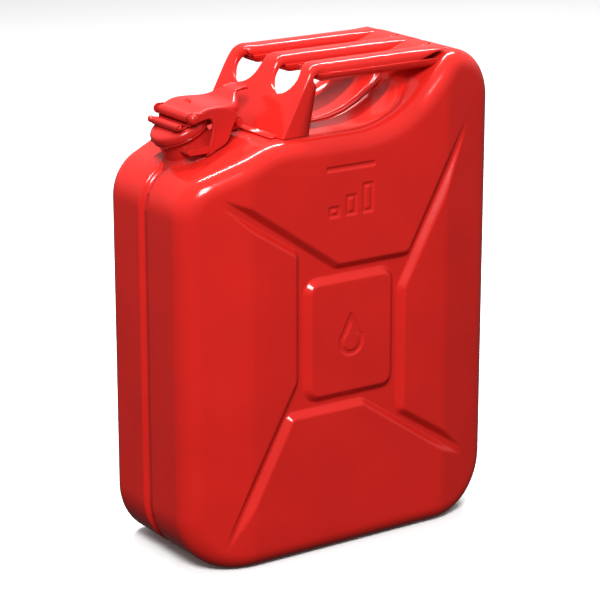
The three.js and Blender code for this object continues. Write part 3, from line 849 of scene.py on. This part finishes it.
def pins():
    """Lever pin with a domed head outside each cheek, and locking pin with its ball grip."""
    pin_end, head_r, head_tall = 32, 4.6, 3.0
    parts = [rod(PIN, 2.1, -pin_end, pin_end)]
    for side in (-1, 1):
        rows = []
        for a in np.linspace(0, math.pi / 2 - 0.05, 9):
            q = head_r * math.cos(a)
            y = side * (CHEEK_Y + 0.2 + head_tall * math.sin(a))
            rows.append([(PIN[0] + q * math.cos(t), y, PIN[2] + q * math.sin(t)) for t in around(32)])
        parts.append(rows_mesh(rows, closed=True))
    verts, faces = merge(parts)
    obj = outward_faces(make("lever_pin_domed", verts, faces, SHADED_FITTING, "cap"))
    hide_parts("lever_pin")

    verts, faces = merge([rod(LOCK, 1.7, -24.2, 26, dome=0.8), ball(LOCK + [0, 26.8, 0], 3.3)])
    pin = outward_faces(make("locking_pin_ball", verts, faces, SHADED_FITTING, "lock"))
    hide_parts("locking_pin")


def yoke_flap():
    """Sheet that runs from the yoke's plate over its rolled front edge."""
    path = [(-2.4, 34.9), (-4.4, 35.8), (-6.6, 37.6), (-8.6, 39.1), (-10.4, 39.5), (-12.2, 38.9),
            (-13.3, 37.2), (-13.3, 35.2), (-12.6, 33.8)]
    half = 22.4
    rows = [in_neck([(a, y, b) for y in np.linspace(-half, half, 13)]) for a, b in path]
    verts, faces = rows_mesh(rows)
    obj = make("yoke_front_flap", verts, faces, SHADED_FITTING, "cap")
    modifier(obj, "SOLIDIFY", thickness=CLOSURE_SHEET * MM, offset=0)
    modifier(obj, "SUBSURF", levels=1, render_levels=1)


neck()
bracket_round_neck()
cap()
yoke_flap()
lever_top()
lever_cheeks()
lever_trim()
pins()


# ------------------------------------------------------------------ CAD pieces that stay as they are
def keep(node, material, width=0.4):
    """A CAD node with a material of its own and soft edges."""
    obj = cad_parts[node]
    obj.data.materials.clear()
    obj.data.materials.append(material)
    modifier(obj, "WELD", merge_threshold=0.02 * MM)
    finish(obj, width, angle=35)


keep("seam_weld", WELD)
for node in ("hinge_pin", "cap_yoke", "cap_rivet_left", "cap_rivet_right"):
    keep(node, SHADED_FITTING, 0.5)
keep("cap_gasket", RUBBER)
keep("gasket_retainer", STEEL)
keep("breather_tube", STEEL)


# ------------------------------------------------------------------ stage, light and camera
def stage():
    """A pale floor, which the can's diffuse and glossy rays don't see."""
    bpy.ops.mesh.primitive_plane_add(size=14, location=(0, 0, 0))
    floor = bpy.context.object
    floor.name = "floor"
    m, _, _, shader = node_material("floor_white")
    shader.inputs["Base Color"].default_value = (0.93, 0.93, 0.93, 1)
    shader.inputs["Roughness"].default_value = 0.7
    shader.inputs["Specular IOR Level"].default_value = 0.1
    floor.data.materials.append(m)
    floor.visible_diffuse = False
    floor.visible_glossy = False


def area_light(name, place, target, size, power, size_y=None):
    """A square area light, or a rectangle if size_y is given, aimed at a point."""
    light = bpy.data.lights.new(name, "AREA")
    light.shape = "RECTANGLE"
    light.size = size
    light.size_y = size_y or size
    light.energy = power
    obj = bpy.data.objects.new(name, light)
    obj.location = place
    obj.rotation_euler = (Vector(target) - Vector(place)).to_track_quat("-Z", "Y").to_euler()
    bpy.context.scene.collection.objects.link(obj)


def lights():
    """A grey sky that gets lighter upwards, a square key light and a long thin strip overhead."""
    world = bpy.data.worlds.new("studio")
    world.use_nodes = True
    nodes, links = world.node_tree.nodes, world.node_tree.links
    place = nodes.new("ShaderNodeTexCoord")
    split = nodes.new("ShaderNodeSeparateXYZ")
    links.new(place.outputs["Generated"], split.inputs["Vector"])
    rise = nodes.new("ShaderNodeMapRange")
    rise.inputs["From Min"].default_value = -0.5
    rise.inputs["From Max"].default_value = 1.0
    links.new(split.outputs["Z"], rise.inputs["Value"])
    tone = nodes.new("ShaderNodeValToRGB")
    ramp = tone.color_ramp
    ramp.elements[0].position = 0.0
    ramp.elements[0].color = (0.05, 0.05, 0.05, 1)
    ramp.elements[1].position = 1.0
    ramp.elements[1].color = (0.62, 0.62, 0.62, 1)
    for position, level in ((0.3, 0.16), (0.45, 0.42)):
        element = ramp.elements.new(position)
        element.color = (level, level, level, 1)
    links.new(rise.outputs["Result"], tone.inputs["Fac"])
    links.new(tone.outputs["Color"], nodes["Background"].inputs["Color"])
    bpy.context.scene.world = world
    middle = (0, 0, 0.25)
    area_light("key", (-1.25, -1.7, 2.05), middle, 0.8, 94)
    area_light("strip", (0.45, 0.55, 2.3), (0.45, 0, 0.3), 2.2, 100, 0.09)


def camera():
    """The photograph's view: a long lens, from the near front corner and a little above."""
    cam = bpy.data.cameras.new("camera")
    cam.lens = 147.29
    cam.sensor_width = 36
    cam.clip_end = 50
    obj = bpy.data.objects.new("camera", cam)
    obj.location = (-1.2723, -1.8625, 0.9056)
    yaw, pitch = math.radians(55.706), math.radians(16.772)
    look = Vector((math.cos(yaw) * math.cos(pitch), math.sin(yaw) * math.cos(pitch), -math.sin(pitch)))
    obj.rotation_euler = look.to_track_quat("-Z", "Y").to_euler()
    bpy.context.scene.collection.objects.link(obj)
    bpy.context.scene.camera = obj


bpy.context.scene.view_settings.view_transform = "Standard"
stage()
lights()
camera()
